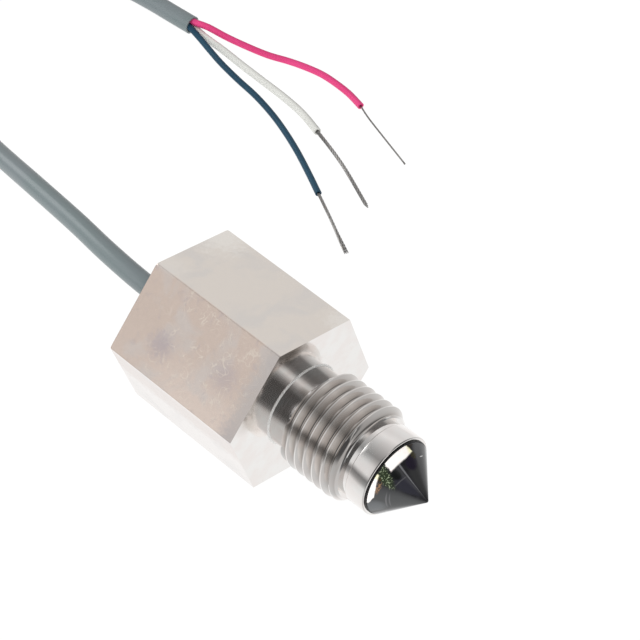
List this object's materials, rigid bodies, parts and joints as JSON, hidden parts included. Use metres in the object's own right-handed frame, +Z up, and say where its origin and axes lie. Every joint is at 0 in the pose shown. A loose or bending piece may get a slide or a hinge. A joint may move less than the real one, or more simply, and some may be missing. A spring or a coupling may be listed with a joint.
{
  "type": "level sensor",
  "caption": "Electro-optic level sensor: hexagonal steel body with threaded shank, glass cone tip and a grey lead that ends in stripped wires.",
  "frame": {"origin": "on the supporting surface, under the middle of the sensor without its lead", "axes": "Z up; Y along the sensor's axis, from the glass tip at -Y to the lead's exit at +Y; X across the hexagon's corners"},
  "size_m": [0.0833, 0.1708, 0.022],
  "materials": {
    "stainless_steel": "bead-blasted flats, turned and polished shank, end face and thread",
    "smoky_glass": "polished",
    "black_seal": "matt black bonded seal",
    "holder_plastic": "moulded",
    "clear_lens": "clear cast resin",
    "dark_lens": "dark cast resin",
    "board_green": "solder resist",
    "chip_black": "moulded chip body",
    "capacitor_tan": "ceramic",
    "resistor_black": "glazed",
    "potting_resin": "cast resin",
    "jacket_grey": "extruded, satin",
    "insulation_red": "extruded",
    "insulation_white": "extruded",
    "insulation_blue": "extruded",
    "tinned_copper": "tinned twisted strands",
    "tie_black": "soft strap"
  },
  "bodies": {
    "root": {"housing": "stainless_steel", "glass_tip": "smoky_glass", "tip_seal": "black_seal", "optics_holder": "holder_plastic", "emitter": "clear_lens", "receiver": "dark_lens", "circuit_board": "board_green", "comparator_chip": "chip_black", "voltage_regulator": "chip_black", "output_transistor": "chip_black", "protection_diode": "chip_black", "supply_capacitor": "capacitor_tan", "filter_capacitor": "capacitor_tan", "emitter_resistor": "resistor_black", "receiver_resistor": "resistor_black", "potting": "potting_resin", "cable_inner_end": "jacket_grey", "supply_core": "insulation_red", "output_core": "insulation_white", "ground_core": "insulation_blue", "cable_run": "jacket_grey", "cable_coil": "jacket_grey", "coil_tie": "tie_black", "cable_tail": "jacket_grey", "wire_red": "insulation_red", "wire_white": "insulation_white", "wire_blue": "insulation_blue", "strands_red": "tinned_copper", "strands_white": "tinned_copper", "strands_blue": "tinned_copper"}
  },
  "joints": []
}
